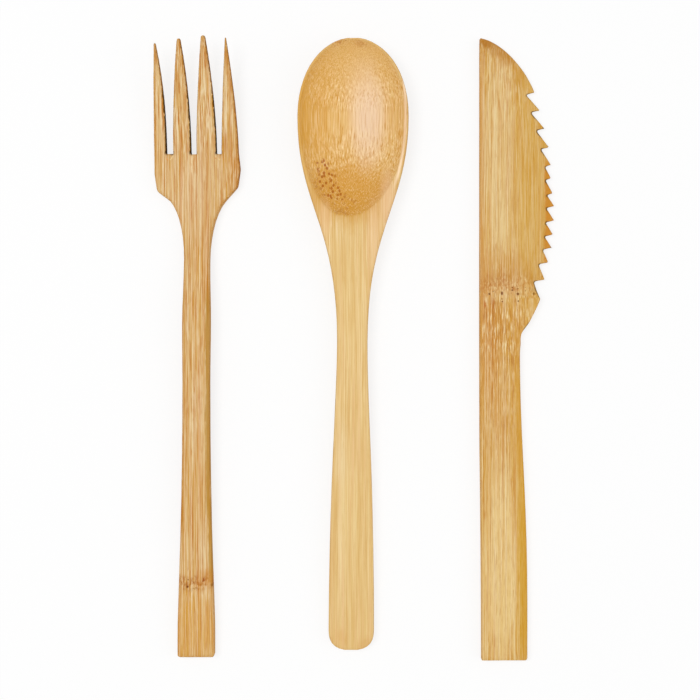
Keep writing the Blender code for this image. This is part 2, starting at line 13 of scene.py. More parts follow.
import bpy
import numpy as np
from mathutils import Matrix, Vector

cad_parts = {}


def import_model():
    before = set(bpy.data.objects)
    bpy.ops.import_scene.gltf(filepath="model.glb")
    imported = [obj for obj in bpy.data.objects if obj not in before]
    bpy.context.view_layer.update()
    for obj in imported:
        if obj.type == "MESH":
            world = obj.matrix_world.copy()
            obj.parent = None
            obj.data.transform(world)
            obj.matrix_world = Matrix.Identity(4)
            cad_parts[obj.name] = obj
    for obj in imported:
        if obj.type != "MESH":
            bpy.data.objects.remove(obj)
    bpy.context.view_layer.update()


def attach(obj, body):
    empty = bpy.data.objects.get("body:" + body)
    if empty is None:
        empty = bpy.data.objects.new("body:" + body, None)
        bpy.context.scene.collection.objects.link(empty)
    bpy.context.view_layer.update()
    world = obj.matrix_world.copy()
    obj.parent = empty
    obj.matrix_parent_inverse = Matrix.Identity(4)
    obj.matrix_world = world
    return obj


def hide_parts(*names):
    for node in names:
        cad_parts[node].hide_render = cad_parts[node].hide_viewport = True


MM = 0.001
LEAST_SQUARE = 1e-12
Socket = bpy.types.NodeSocket
Pair = tuple[float, float]
Triple = tuple[float, float, float]

log = logging.getLogger("cutlery")


class Blend(Enum):
    """How a tone is laid over the one below it."""

    COVER = "MIX"
    # Multiplies the tone below: used for real stains, and for the painted shade on walls.
    STAIN = "MULTIPLY"


class Form(Enum):
    """Outline of a patch."""

    OVAL = "oval"
    STRIP = "strip"
    RING = "ring"


class Side(Enum):
    """Which way the surface faces where a patch shows."""

    ALL = "all"
    TOP = "top"
    WALL = "wall"
    # Right-facing walls turn away from the key lamp; the patches laid on them are painted shade.
    RIGHT_WALL = "right wall"


class Course(Enum):
    """What the fibres run along: the bent top, or a straight line."""

    TOP = "top"
    STRAIGHT = "straight"


@dataclass(frozen=True)
class Tone:
    """A colour as the eye reads it, each part from 0 to 255."""

    red: float
    green: float
    blue: float

    def linear(self) -> tuple[float, float, float, float]:
        """The colour as light.

        Returns:
            Red, green and blue from 0 to 1, and full cover.
        """
        parts = (self.red / 255, self.green / 255, self.blue / 255)
        light = [part / 12.92 if part <= 0.04045 else ((part + 0.055) / 1.055) ** 2.4 for part in parts]
        return (*light, 1.0)


@dataclass(frozen=True)
class Place:
    """A soft-edged place on a piece, seen from above, in millimetres, and how strongly it shows."""

    x: float
    y: float
    half_width: float
    half_length: float
    soft: float
    strength: float
    form: Form = field(default=Form.OVAL, kw_only=True)
    side: Side = field(default=Side.ALL, kw_only=True)


@dataclass(frozen=True)
class Patch(Place):
    """A place of another tone."""

    tone: Tone


@dataclass(frozen=True)
class Culm:
    """The ring across a piece where the cane's joint was, with the pin marks of its old sheath."""

    x: float
    y: float
    slope: float
    half_length: float
    stain: Tone
    strength: float
    pin: Tone
    pins: tuple[tuple[float, float, float, float], ...]


@dataclass(frozen=True)
class BambooFinish:
    """Bare sanded bamboo: its tones, the scale of its fibres and how it takes the light, with painted shade
    on its walls and in its inner corners.
    """

    name: str
    pale: Tone
    body: Tone
    amber: Tone
    light_line: Tone
    dark_line: Tone
    blush_line: Tone
    light_dash: Tone
    dark_dash: Tone
    # Painted shade: walls, which face sideways, are multiplied towards this tone.
    wall: Tone
    arris: Tone
    # Painted shade: inner corners are darkened towards this tone.
    nook: Tone
    bundle: Tone = Tone(150, 92, 42)
    hollow: Tone = Tone(255, 255, 255)
    dash_scale: Triple = (2.6, 0.22, 5.0)
    dash_strength: float = 0.30
    hollow_dashes: float = 0.0
    line_scale: float = 3.9
    line_strength: float = 0.75
    blush_strength: float = 0.45
    nook_strength: float = 0.7
    arris_strength: float = 0.40
    wall_shade_strength: float = 0.15
    fleck_strength: float = 0.35
    bundle_strength: float = 0.75
    roughness: Pair = (0.48, 0.64)
    specular: float = 0.12
    seed: float = 0.0
    bundles: tuple[Place, ...] = ()
    figures: tuple[Place, ...] = ()
    grounds: tuple[Patch, ...] = ()
    patches: tuple[Patch, ...] = ()
    culms: tuple[Culm, ...] = ()


# How the shift of a pattern is shared out among the axes
SHIFT_SHARES = (1.0, 0.7, 1.3)


class NodeSheet:
    """One material's node tree, with a short method for each kind of node that the finishes use."""

    def __init__(self, tree: bpy.types.NodeTree) -> None:
        """Take over the tree and empty it."""
        self.tree = tree
        tree.nodes.clear()

    def node(self, kind: str, **settings: object) -> bpy.types.Node:
        """Add a node.

        Args:
            kind: The node's type name.
            **settings: Properties of the node with their values.

        Returns:
            The new node.
        """
        node = self.tree.nodes.new(kind)
        for name, value in settings.items():
            setattr(node, name, value)
        return node

    def feed(self, socket: Socket, source: object) -> None:
        """Link a socket to a source socket, or set it to a plain value.

        Args:
            socket: The socket to feed.
            source: Another socket or a plain value.
        """
        if isinstance(source, Socket):
            self.tree.links.new(source, socket)
        else:
            socket.default_value = source

    def math(self, operation: str, first: object, second: object = 0.0, third: object = 0.0) -> Socket:
        """Work out one number.

        Args:
            operation: The operation's name, such as ADD.
            first: A socket or a number.
            second: A socket or a number.
            third: A socket or a number.

        Returns:
            The result's socket.
        """
        node = self.node("ShaderNodeMath", operation=operation)
        for socket, source in zip(node.inputs, (first, second, third)):
            self.feed(socket, source)
        return node.outputs[0]

    def step(self, value: object, low: object, high: object) -> Socket:
        """Rise smoothly from 0 at low to 1 at high, or fall where low is above high.

        Args:
            value: The number to map.
            low: Where the result is 0.
            high: Where the result is 1.

        Returns:
            The result's socket.
        """
        node = self.node("ShaderNodeMapRange", interpolation_type="SMOOTHSTEP")
        for name, source in (("Value", value), ("From Min", low), ("From Max", high)):
            self.feed(node.inputs[name], source)
        return node.outputs["Result"]

    def scaled(self, vector: Socket, scale: Triple, shift: Triple = (0.0, 0.0, 0.0)) -> Socket:
        """Stretch and shift a place.

        Args:
            vector: The place.
            scale: Factor for each axis.
            shift: Added along each axis after the stretch.

        Returns:
            The new place's socket.
        """
        node = self.node("ShaderNodeMapping")
        node.inputs["Location"].default_value = shift
        node.inputs["Scale"].default_value = scale
        self.feed(node.inputs["Vector"], vector)
        return node.outputs["Vector"]

    def reach(self, vector: Socket, middle: Pair, half: Pair) -> Socket:
        """Distance from the middle of an oval, seen from above: 1 on its outline.

        Args:
            vector: The place.
            middle: X and Y of the middle.
            half: Half of the width and half of the length.

        Returns:
            The distance's socket.
        """
        (x, y), (wide, long) = middle, half
        node = self.node("ShaderNodeVectorMath", operation="LENGTH")
        moved = self.scaled(vector, (1 / wide, 1 / long, 0.0), (-x / wide, -y / long, 0.0))
        self.feed(node.inputs[0], moved)
        return node.outputs["Value"]

    def joined(self, x: object, y: object, z: object) -> Socket:
        """Join three numbers to a place.

        Args:
            x: A socket or a number.
            y: A socket or a number.
            z: A socket or a number.

        Returns:
            The place's socket.
        """
        node = self.node("ShaderNodeCombineXYZ")
        for socket, source in zip(node.inputs, (x, y, z)):
            self.feed(socket, source)
        return node.outputs[0]

    def shifted(self, vector: Socket, scale: Triple, shift: float) -> Socket:
        """Stretch a place and move it to its own part of a pattern."""
        return self.scaled(vector, scale, tuple(shift * share for share in SHIFT_SHARES))

    def noise(self, vector: Socket, scale: Triple, shift: float, detail: float, rough: float) -> Socket:
        """Cloudy noise, about 0.5 on the whole.

        Args:
            vector: The place in millimetres.
            scale: Waves in a millimetre along each axis.
            shift: Which part of the noise is used.
            detail: Octaves of finer noise.
            rough: Weight of the finer octaves.

        Returns:
            The noise's socket.
        """
        node = self.node("ShaderNodeTexNoise")
        node.inputs["Scale"].default_value = 1.0
        node.inputs["Detail"].default_value = detail
        node.inputs["Roughness"].default_value = rough
        self.feed(node.inputs["Vector"], self.shifted(vector, scale, shift))
        return node.outputs["Fac"]

    def cells(self, vector: Socket, scale: Triple, shift: float) -> Socket:
        """Distance from the nearest of many scattered points, seen from above.

        Args:
            vector: The place in millimetres.
            scale: Cells in a millimetre along each axis.
            shift: Which part of the pattern is used.

        Returns:
            The distance's socket, in cells.
        """
        node = self.node("ShaderNodeTexVoronoi", voronoi_dimensions="2D")
        node.inputs["Scale"].default_value = 1.0
        self.feed(node.inputs["Vector"], self.shifted(vector, scale, shift))
        return node.outputs["Distance"]

    def mix(self, factor: object, below: object, above: object, blend: Blend = Blend.COVER) -> Socket:
        """Lay one colour over another.

        Args:
            factor: How much of the upper colour shows.
            below: The lower colour.
            above: The upper colour.
            blend: How the two are joined.

        Returns:
            The mixed colour's socket.
        """
        node = self.node("ShaderNodeMix", data_type="RGBA", blend_type=blend.value)
        self.feed(node.inputs["Factor"], factor)
        self.feed(node.inputs[6], below)
        self.feed(node.inputs[7], above)
        return node.outputs[2]


@dataclass(frozen=True)
class Noise:
    """Noise in the wood: waves in a millimetre along each axis, and the levels where it comes to show."""

    scale: Triple
    shift: float
    octaves: float
    low: float = 0.0
    high: float = 1.0
    rough: float = 0.5

    def scaled(self, factors: Triple) -> "Noise":
        """The same noise with its waves multiplied along each axis."""
        return replace(self, scale=tuple(wave * factor for wave, factor in zip(self.scale, factors)))


BROAD_BANDS = Noise((0.30, 0.006, 0.30), 31.0, 2.0, 0.34, 0.66)
STREAKS = Noise((2.2, 0.025, 2.2), 37.0, 3.0, 0.36, 0.64, 0.6)
FINE_FIBRES = Noise((4.6, 0.050, 4.6), 41.0, 1.0, 0.38, 0.62)
FLECKS = Noise((3.4, 0.20, 3.4), 43.0, 1.0, 0.60, 0.70)
LIGHT_LINES = Noise((1.0, 0.018, 1.0), 61.0, 1.0, 0.55, 0.64)
DARK_LINES = Noise((1.0, 0.026, 1.0), 67.0, 1.0, 0.56, 0.66)
DASHES = Noise((1.0, 1.0, 1.0), 79.0, 2.0, rough=0.6)
BLUSH_LINES = Noise((2.6, 0.016, 2.6), 83.0, 1.0, 0.52, 0.66)
BUNDLE_CELLS = Noise((0.78, 0.60, 0.0), 47.0, 0.0, 0.40, 0.20)
BUNDLE_THINNING = Noise((0.60, 0.50, 0.60), 49.0, 1.0, 0.38, 0.50)
CULM_MOTTLE = Noise((1.3, 0.7, 1.3), 53.0, 3.0, 0.35, 0.7)
CULM_RIPPLE = Noise((0.35, 0.02, 0.35), 5.0, 2.0)
CULM_SWIRL = Noise((0.9, 0.40, 0.9), 23.0, 2.0)
DRIFT = Noise((0.035, 0.009, 0.035), 11.0, 2.0)
TREMBLE = Noise((0.5, 0.10, 0.5), 17.0, 1.0)
RAGGED_SLOW = Noise((0.22, 0.07, 0.22), 71.0, 2.0)
RAGGED_QUICK = Noise((1.8, 0.50, 1.8), 73.0, 2.0)

# How far the noise moves what is read: across alone or across and along, in millimetres
DRIFT_BY = 2.0
TREMBLE_BY = 0.35
SWIRL_BY = (1.2, 22.0)
RAGGED_SLOW_BY = (1.4, 5.0)
RAGGED_QUICK_BY = (0.7, 4.0)
CULM_RIPPLE_SHARE = 1.6

# Weights and levels of the fibres in the tone, and the heights of the layers in the relief
BROAD_WEIGHT, STREAK_WEIGHT, FINE_WEIGHT = 0.20, 0.38, 0.42
STREAK_HEIGHT, FINE_HEIGHT = 0.5, 0.5
AMBER_LEVELS = (0.12, 0.50)
PALE_LEVELS = (0.50, 0.88)
DARK_DASH_LEVELS = (0.46, 0.36)
LIGHT_DASH_LEVELS = (0.54, 0.64)
LINE_DEPTH = 0.4
FLECK_DEPTH = 0.6

# Levels at which a surface counts as a wall, as upper side or as a wall that faces right
WALL_LEVELS = (0.75, 0.30)
TOP_LEVELS = (0.2, 0.8)
RIGHT_LEVELS = (0.14, 0.34)

# Where a strip, a ring and a pin mark are gone and where they are whole, as shares of their half length
STRIP_ENDS = (1.2, 0.8)
RING_ENDS = (0.65, 0.45)
PIN_EDGE = (1.4, 0.5)
PIN_STRENGTH = 0.9

# Roughness that flecks and walls add, and how the wood takes the light
FLECK_ROUGHNESS = 0.10
WALL_ROUGHNESS = 0.30
WOOD_IOR = 1.45
RELIEF_STRENGTH = 0.8
RELIEF_DEPTH = 0.03 * MM


class BambooPainter:
    """Turns a bamboo finish into a material."""

    def __init__(self, finish: BambooFinish) -> None:
        """Start the material and find the place on the piece.

        Args:
            finish: The finish to paint.
        """
        self.finish = finish
        self.material = bpy.data.materials.new(finish.name)
        self.material.use_nodes = True
        self.sheet = NodeSheet(self.material.node_tree)
        coordinates = self.sheet.node("ShaderNodeTexCoord")
        self.place = self.sheet.scaled(coordinates.outputs["Object"], (1 / MM, 1 / MM, 1 / MM))
        self.x, self.y, self.z = self.split(self.place)
        facing = self.split(self.sheet.node("ShaderNodeNewGeometry").outputs["Normal"])
        self.ragged = self.ragged_place()
        self.sides = {
            Side.ALL: 1.0,
            Side.TOP: self.sheet.step(facing[2], *TOP_LEVELS),
            Side.WALL: self.sheet.step(self.sheet.math("ABSOLUTE", facing[2]), *WALL_LEVELS),
            Side.RIGHT_WALL: self.sheet.step(facing[0], *RIGHT_LEVELS),
        }

    def noise(self, place: Socket, noise: Noise) -> Socket:
        """Noise at a place in millimetres, in the finish's own part of the pattern."""
        seed = self.finish.seed + noise.shift
        return self.sheet.noise(place, noise.scale, seed, noise.octaves, noise.rough)

    def shown(self, place: Socket, noise: Noise) -> Socket:
        """How much of a noise shows at a place: 0 at its low level and 1 at its high one."""
        return self.sheet.step(self.noise(place, noise), noise.low, noise.high)

    def swing(self, noise: Noise) -> Socket:
        """Noise that swings to both sides of 0."""
        return self.sheet.math("SUBTRACT", self.noise(self.place, noise), 0.5)

    def split(self, vector: Socket) -> tuple[Socket, Socket, Socket]:
        """The three parts of a vector.

        Args:
            vector: The vector's socket.

        Returns:
            Sockets for X, Y and Z.
        """
        node = self.sheet.node("ShaderNodeSeparateXYZ")
        self.sheet.feed(node.inputs[0], vector)
        return node.outputs[0], node.outputs[1], node.outputs[2]

    def ragged_place(self) -> Socket:
        """The place with a slow and a quick tremble, so that nothing read from it has a clean edge.

        Returns:
            The place's socket, in millimetres.
        """
        s = self.sheet
        slow, quick = self.swing(RAGGED_SLOW), self.swing(RAGGED_QUICK)
        x = s.math("MULTIPLY_ADD", slow, RAGGED_SLOW_BY[0], self.x)
        y = s.math("MULTIPLY_ADD", slow, RAGGED_SLOW_BY[1], self.y)
        x = s.math("MULTIPLY_ADD", quick, RAGGED_QUICK_BY[0], x)
        y = s.math("MULTIPLY_ADD", quick, RAGGED_QUICK_BY[1], y)
        return s.joined(x, y, self.z)

    def attribute(self, name: str) -> Socket:
        """The value of one of the mesh's own attributes."""
        return self.sheet.node("ShaderNodeAttribute", attribute_name=name).outputs["Fac"]

    def culm_band(self, culm: Culm) -> Socket:
        """How near a place is to the culm ring: 1 on it and 0 away from it.

        Args:
            culm: The ring.

        Returns:
            The nearness's socket.
        """
        s = self.sheet
        off = s.math("SUBTRACT", self.y, culm.y)
        off = s.math("MULTIPLY_ADD", s.math("SUBTRACT", self.x, culm.x), -culm.slope, off)
        off = s.math("MULTIPLY_ADD", self.swing(CULM_RIPPLE), culm.half_length * CULM_RIPPLE_SHARE, off)
        return s.step(s.math("ABSOLUTE", off), culm.half_length, 0.0)

    def grain_place(self, bands: list[Socket]) -> Socket:
        """The place read by the fibres: they wander slowly, and bend round each culm ring.

        Args:
            bands: Nearness to each culm ring.

        Returns:
            The place's socket, in millimetres.
        """
        s = self.sheet
        x = s.math("MULTIPLY_ADD", self.swing(DRIFT), DRIFT_BY, self.x)
        x = s.math("MULTIPLY_ADD", self.swing(TREMBLE), TREMBLE_BY, x)
        y = self.y
        for band in bands:
            swirl = s.math("MULTIPLY", self.swing(CULM_SWIRL), band)
            x = s.math("MULTIPLY_ADD", swirl, SWIRL_BY[0], x)
            y = s.math("MULTIPLY_ADD", swirl, SWIRL_BY[1], y)
        return s.joined(x, y, self.attribute("layer"))

    def place_mask(self, place: Place) -> Socket:
        """How much of a place shows.

        Args:
            place: The place.

        Returns:
            The share's socket, from 0 to the place's strength.
        """
        s = self.sheet
        middle, half = (place.x, place.y), (place.half_width, place.half_length)
        if place.form is Form.STRIP:
            x, y, _ = self.split(self.ragged)
            across = s.math("ABSOLUTE", s.math("SUBTRACT", x, place.x))
            mask = s.step(across, place.half_width + place.soft, place.half_width - place.soft)
            mask = s.math("MULTIPLY", mask, self.ends(y, place, STRIP_ENDS))
        elif place.form is Form.RING:
            off = s.math("ABSOLUTE", s.math("SUBTRACT", s.reach(self.place, middle, half), 1.0))
            mask = s.math("MULTIPLY", s.step(off, place.soft, 0.0), self.ends(self.y, place, RING_ENDS))
        else:
            mask = s.step(s.reach(self.ragged, middle, half), 1.0 + place.soft, 1.0 - place.soft)
        mask = s.math("MULTIPLY", mask, self.sides[place.side])
        return s.math("MULTIPLY", mask, place.strength)

    def ends(self, y: Socket, place: Place, shares: Pair) -> Socket:
        """Fade a strip or a ring out towards its two ends.

        Args:
            y: Where it is read along the piece.
            place: The strip or ring.
            shares: Where it is gone and where it is whole, as shares of its half length.

        Returns:
            The share's socket.
        """
        along = self.sheet.math("ABSOLUTE", self.sheet.math("SUBTRACT", y, place.y))
        gone, whole = shares
        return self.sheet.step(along, gone * place.half_length, whole * place.half_length)

    def fibres(self, grain: Socket) -> tuple[Socket, Socket]:
        """Paint the body of the wood.

        Args:
            grain: The place read by the fibres.

        Returns:
            The colour and the height of the fibres.
        """
        s, finish = self.sheet, self.finish
        broad, streaks = self.shown(grain, BROAD_BANDS), self.shown(grain, STREAKS)
        fine = self.shown(grain, FINE_FIBRES)
        tone = s.math("MULTIPLY_ADD", broad, BROAD_WEIGHT, s.math("MULTIPLY", streaks, STREAK_WEIGHT))
        tone = s.math("MULTIPLY_ADD", fine, FINE_WEIGHT, tone)
        colour = s.mix(s.step(tone, *AMBER_LEVELS), finish.amber.linear(), finish.body.linear())
        colour = s.mix(s.step(tone, *PALE_LEVELS), colour, finish.pale.linear())
        height = s.math("MULTIPLY_ADD", fine, FINE_HEIGHT, s.math("MULTIPLY", streaks, STREAK_HEIGHT))
        return colour, height

    def lines(self, grain: Socket, colour: Socket, height: Socket) -> tuple[Socket, Socket, Socket]:
        """Paint single fibres: long pale, dark and rosy lines, and short dark flecks.

        Args:
            grain: The place read by the fibres.
            colour: The colour below.
            height: The height of the fibres below.

        Returns:
            The colour and the height with the lines, and the share of flecks.
        """
        s, finish = self.sheet, self.finish
        thinner = (finish.line_scale, 1.0, finish.line_scale)
        light = self.shown(grain, LIGHT_LINES.scaled(thinner))
        dark = self.shown(grain, DARK_LINES.scaled(thinner))
        blush = self.shown(grain, BLUSH_LINES)
        flecks = self.shown(grain, FLECKS)
        colour = s.mix(s.math("MULTIPLY", blush, finish.blush_strength), colour, finish.blush_line.linear())
        colour = s.mix(s.math("MULTIPLY", dark, finish.line_strength), colour, finish.dark_line.linear())
        colour = s.mix(s.math("MULTIPLY", light, finish.line_strength), colour, finish.light_line.linear())
        colour = s.mix(s.math("MULTIPLY", flecks, finish.fleck_strength), colour, finish.dark_line.linear())
        height = s.math("MULTIPLY_ADD", dark, -LINE_DEPTH, height)
        return colour, s.math("MULTIPLY_ADD", flecks, -FLECK_DEPTH, height), flecks

    def lay(self, patches: tuple[Patch, ...], colour: Socket) -> Socket:
        """Lay patches over a colour.

        Args:
            patches: The patches, the lowest first.
            colour: The colour below.

        Returns:
            The colour with the patches.
        """
        for patch in patches:
            colour = self.sheet.mix(self.place_mask(patch), colour, patch.tone.linear())
        return colour

    def dashes(self, grain: Socket, colour: Socket) -> Socket:
        """Paint short pale and dark lengths of fibre, more of them where the wood is figured or carved.

        Args:
            grain: The place read by the fibres.
            colour: The colour below.

        Returns:
            The colour with the dashes.
        """
        s, finish = self.sheet, self.finish
        share = s.math("MULTIPLY_ADD", self.attribute("hollow"), finish.hollow_dashes, finish.dash_strength)
        for figure in finish.figures:
            share = s.math("ADD", share, self.place_mask(figure))
        share = s.math("MINIMUM", share, 1.0)
        pattern = self.noise(grain, DASHES.scaled(finish.dash_scale))
        dark = s.math("MULTIPLY", s.step(pattern, *DARK_DASH_LEVELS), share)
        light = s.math("MULTIPLY", s.step(pattern, *LIGHT_DASH_LEVELS), share)
        colour = s.mix(dark, colour, finish.dark_dash.linear())
        return s.mix(light, colour, finish.light_dash.linear())

    def bundle_dots(self, colour: Socket) -> Socket:
        """Paint the dark ends of fibre bundles where the finish has them and carving cuts them through.

        Args:
            colour: The colour below.

        Returns:
            The colour with the bundles.
        """
        s = self.sheet
        ends = s.cells(self.place, BUNDLE_CELLS.scale, self.finish.seed + BUNDLE_CELLS.shift)
        dots = s.step(ends, BUNDLE_CELLS.low, BUNDLE_CELLS.high)
        dots = s.math("MULTIPLY", dots, self.shown(self.place, BUNDLE_THINNING))
        dots = s.math("MULTIPLY", dots, self.attribute("hollow"))
        for cluster in self.finish.bundles:
            share = s.math("MULTIPLY", dots, self.place_mask(cluster))
            share = s.math("MULTIPLY", share, self.finish.bundle_strength)
            colour = s.mix(share, colour, self.finish.bundle.linear())
        return colour

    def culm_rings(self, bands: list[Socket], colour: Socket) -> Socket:
        """Stain the culm rings and mark their pins.

        Args:
            bands: Nearness to each culm ring.
            colour: The colour below.

        Returns:
            The colour with the rings.
        """
        s = self.sheet
        for culm, band in zip(self.finish.culms, bands):
            share = s.math("MULTIPLY", self.shown(self.place, CULM_MOTTLE), culm.strength)
            share = s.math("MULTIPLY", band, share)
            colour = s.mix(share, colour, culm.stain.linear(), Blend.STAIN)
            for x, y, wide, long in culm.pins:
                spot = s.step(s.reach(self.place, (x, y), (wide, long)), *PIN_EDGE)
                colour = s.mix(s.math("MULTIPLY", spot, PIN_STRENGTH), colour, culm.pin.linear())
        return colour

    def paint(self) -> bpy.types.Material:
        """Build the whole finish.

        Returns:
            The material.
        """
        s, finish = self.sheet, self.finish
        bands = [self.culm_band(culm) for culm in finish.culms]
        grain = self.grain_place(bands)
        colour, height = self.fibres(grain)
        colour = self.lay(finish.grounds, colour)
        colour, height, flecks = self.lines(grain, colour, height)
        colour = self.dashes(grain, colour)
        colour = s.mix(self.attribute("hollow"), colour, finish.hollow.linear(), Blend.STAIN)
        colour = self.bundle_dots(colour)
        colour = self.culm_rings(bands, colour)
        colour = self.lay(finish.patches, colour)
        arris = s.math("MULTIPLY", self.attribute("arris"), finish.arris_strength)
        colour = s.mix(arris, colour, finish.arris.linear())
        # Painted shade: inner corners darkened towards their tone.
        nook = s.math("MULTIPLY", self.attribute("nook"), finish.nook_strength)
        colour = s.mix(nook, colour, finish.nook.linear())
        # Painted shade: walls, which face sideways, are multiplied by their tone.
        wall = s.math("MULTIPLY", self.sides[Side.WALL], finish.wall_shade_strength)
        colour = s.mix(wall, colour, finish.wall.linear(), Blend.STAIN)
        return self.shade(colour, height, flecks)

    def shade(self, colour: Socket, height: Socket, flecks: Socket) -> bpy.types.Material:
        """Wire the colour, roughness and relief to the shader.

        Args:
            colour: The surface's colour.
            height: The height of the fibres.
            flecks: Short dark flecks, rougher than the rest.

        Returns:
            The material.
        """
        s = self.sheet
        smooth, rough = self.finish.roughness
        shader = s.node("ShaderNodeBsdfPrincipled")
        s.feed(shader.inputs["Base Color"], colour)
        level = s.math("MULTIPLY_ADD", height, smooth - rough, rough)
        level = s.math("MULTIPLY_ADD", flecks, FLECK_ROUGHNESS, level)
        level = s.math("MULTIPLY_ADD", self.sides[Side.WALL], WALL_ROUGHNESS, level)
        s.feed(shader.inputs["Roughness"], level)
        shader.inputs["IOR"].default_value = WOOD_IOR
        shader.inputs["Specular IOR Level"].default_value = self.finish.specular
        bump = s.node("ShaderNodeBump")
        bump.inputs["Strength"].default_value = RELIEF_STRENGTH
        bump.inputs["Distance"].default_value = RELIEF_DEPTH
        s.feed(bump.inputs["Height"], height)
        s.feed(shader.inputs["Normal"], bump.outputs["Normal"])
        output = s.node("ShaderNodeOutputMaterial")
        s.feed(output.inputs["Surface"], shader.outputs["BSDF"])
        return self.material


@dataclass(frozen=True)
class Relief:
    """One layer of unevenness: the size of its waves along each axis and its depth."""

    name: str
    wave: Triple
    depth: float
    octaves: int


@dataclass
class CutleryPiece:
    """A piece of the set: a copy of its solid with a finer surface and a finish."""

    node: str
    slot: str
    finish: BambooFinish
    course: Course = Course.STRAIGHT
    voxel: float = 0.34 * MM
    smoothing: int = 24
    reliefs: tuple[Relief, ...] = (
        Relief("sanding_waves", (7 * MM, 26 * MM, 7 * MM), 0.10 * MM, 1),
        Relief("raised_fibres", (0.9 * MM, 22 * MM, 0.9 * MM), 0.045 * MM, 2),
    )
    weld: float = 0.001 * MM
    spared_from: float = 0.04
    spared_band: float = 0.12
    spared_share: float = 0.97
    smoothing_factor: float = 0.5
    weight_levels: int = 20
    station: float = 2 * MM
    evened_over: int = 5
    arris_rounds: int = 2
    arris_gain: float = 2.2
    nook_rounds: int = 2
    nook_from: float = 0.08
    nook_gain: float = 5.0
    sharp_angle: float = math.radians(65)
    body: bpy.types.Object = field(init=False)

    def build(self) -> bpy.types.Object:
        """Make the piece, dress it and put it in the place of its solid.

        Returns:
            The finished piece.
        """
        self.copy_solid()
        self.refine()
        self.shape()
        for relief in self.reliefs:
            self.roughen(relief)
        self.mark_arrises()
        self.mark_layers()
        self.mark_hollow()
        self.dress()
        return self.body

    def copy_solid(self) -> None:
        """Copy the solid and weld the copy's loose triangles."""
        bpy.ops.object.select_all(action="DESELECT")
        solid = bpy.data.objects[self.node]
        solid.select_set(True)
        bpy.context.view_layer.objects.active = solid
        bpy.ops.object.duplicate()
        self.body = bpy.context.view_layer.objects.active
        self.body.name = f"{self.node}_finished"
        self.body.data.name = self.body.name
        for key in list(self.body.keys()):
            del self.body[key]
        self.body.parent = None
        bpy.ops.object.mode_set(mode="EDIT")
        bpy.ops.mesh.select_all(action="SELECT")
        bpy.ops.mesh.remove_doubles(threshold=self.weld)
        bpy.ops.mesh.normals_make_consistent(inside=False)
        bpy.ops.object.mode_set(mode="OBJECT")
        bpy.ops.mesh.customdata_custom_splitnormals_clear()

    def apply(self, modifier: bpy.types.Modifier) -> None:
        """Apply a modifier of the piece."""
        bpy.context.view_layer.objects.active = self.body
        bpy.ops.object.modifier_apply(modifier=modifier.name)

    def points(self, layer: str = "co") -> np.ndarray:
        """Places or normals of the piece's vertices.

        Args:
            layer: "co" for places, "normal" for normals.

        Returns:
            One row of X, Y and Z for each vertex.
        """
        values = np.zeros(3 * len(self.body.data.vertices))
        self.body.data.vertices.foreach_get(layer, values)
        return values.reshape(-1, 3)

    def edges(self) -> np.ndarray:
        """The two vertices of each edge.

        Returns:
            One row of two vertex numbers for each edge.
        """
        values = np.zeros(2 * len(self.body.data.edges), dtype=np.int64)
        self.body.data.edges.foreach_get("vertices", values)
        return values.reshape(-1, 2)

    def spread(self, values: np.ndarray, rounds: int) -> np.ndarray:
        """Even out values between neighbouring vertices.

        Args:
            values: One value for each vertex.
            rounds: How many times each value is averaged with its neighbours.

        Returns:
            The evened values.
        """
        edges = self.edges()
        count = np.bincount(edges.ravel(), minlength=len(values))
        for _ in range(rounds):
            total = np.bincount(edges[:, 0], values[edges[:, 1]], len(values))
            total += np.bincount(edges[:, 1], values[edges[:, 0]], len(values))
            values = (values + total) / (1 + count)
        return values

    def bends(self) -> tuple[np.ndarray, np.ndarray]:
        """How strongly the surface turns at each vertex.

        Returns:
            The turn outward, where 1 is a sharp arris, and inward, where 1 is a sharp inner corner.
        """
        edges = self.edges()
        places, normals = self.points(), self.points("normal")
        step = places[edges[:, 1]] - places[edges[:, 0]]
        turn = normals[edges[:, 1]] - normals[edges[:, 0]]
        outward = (step * turn).sum(axis=1) / np.maximum((step * step).sum(axis=1), LEAST_SQUARE) * self.voxel
        most = np.zeros(len(places))
        for end in (0, 1):
            np.maximum.at(most, edges[:, end], outward)
        least = np.zeros(len(places))
        for end in (0, 1):
            np.minimum.at(least, edges[:, end], outward)
        return np.minimum(most, 1.0), np.minimum(-least, 1.0)

    def group(self, name: str, weights: np.ndarray) -> None:
        """Store weights as a vertex group.

        Args:
            name: The group's name.
            weights: One weight from 0 to 1 for each vertex.
        """
        group = self.body.vertex_groups.new(name=name)
        levels = np.round(weights * self.weight_levels).astype(int)
        for level in np.unique(levels):
            group.add(np.flatnonzero(levels == level).tolist(), level / self.weight_levels, "REPLACE")

    def refine(self) -> None:
        """Cover the piece in an even fine mesh and smooth its facets away, the arrises spared."""
        remesh = self.body.modifiers.new("fine_mesh", "REMESH")
        remesh.mode = "VOXEL"
        remesh.voxel_size = self.voxel
        remesh.use_smooth_shade = True
        self.apply(remesh)
        arris = self.spread(np.maximum(*self.bends()), 1)
        spared = np.clip((arris - self.spared_from) / self.spared_band, 0.0, 1.0)
        self.group("broad", 1.0 - self.spared_share * spared)
        smooth = self.body.modifiers.new("smooth_facets", "SMOOTH")
        smooth.factor = self.smoothing_factor
        smooth.iterations = self.smoothing
        smooth.vertex_group = "broad"
        self.apply(smooth)

    def shape(self) -> None:
        """Work the details of the piece's own shape."""

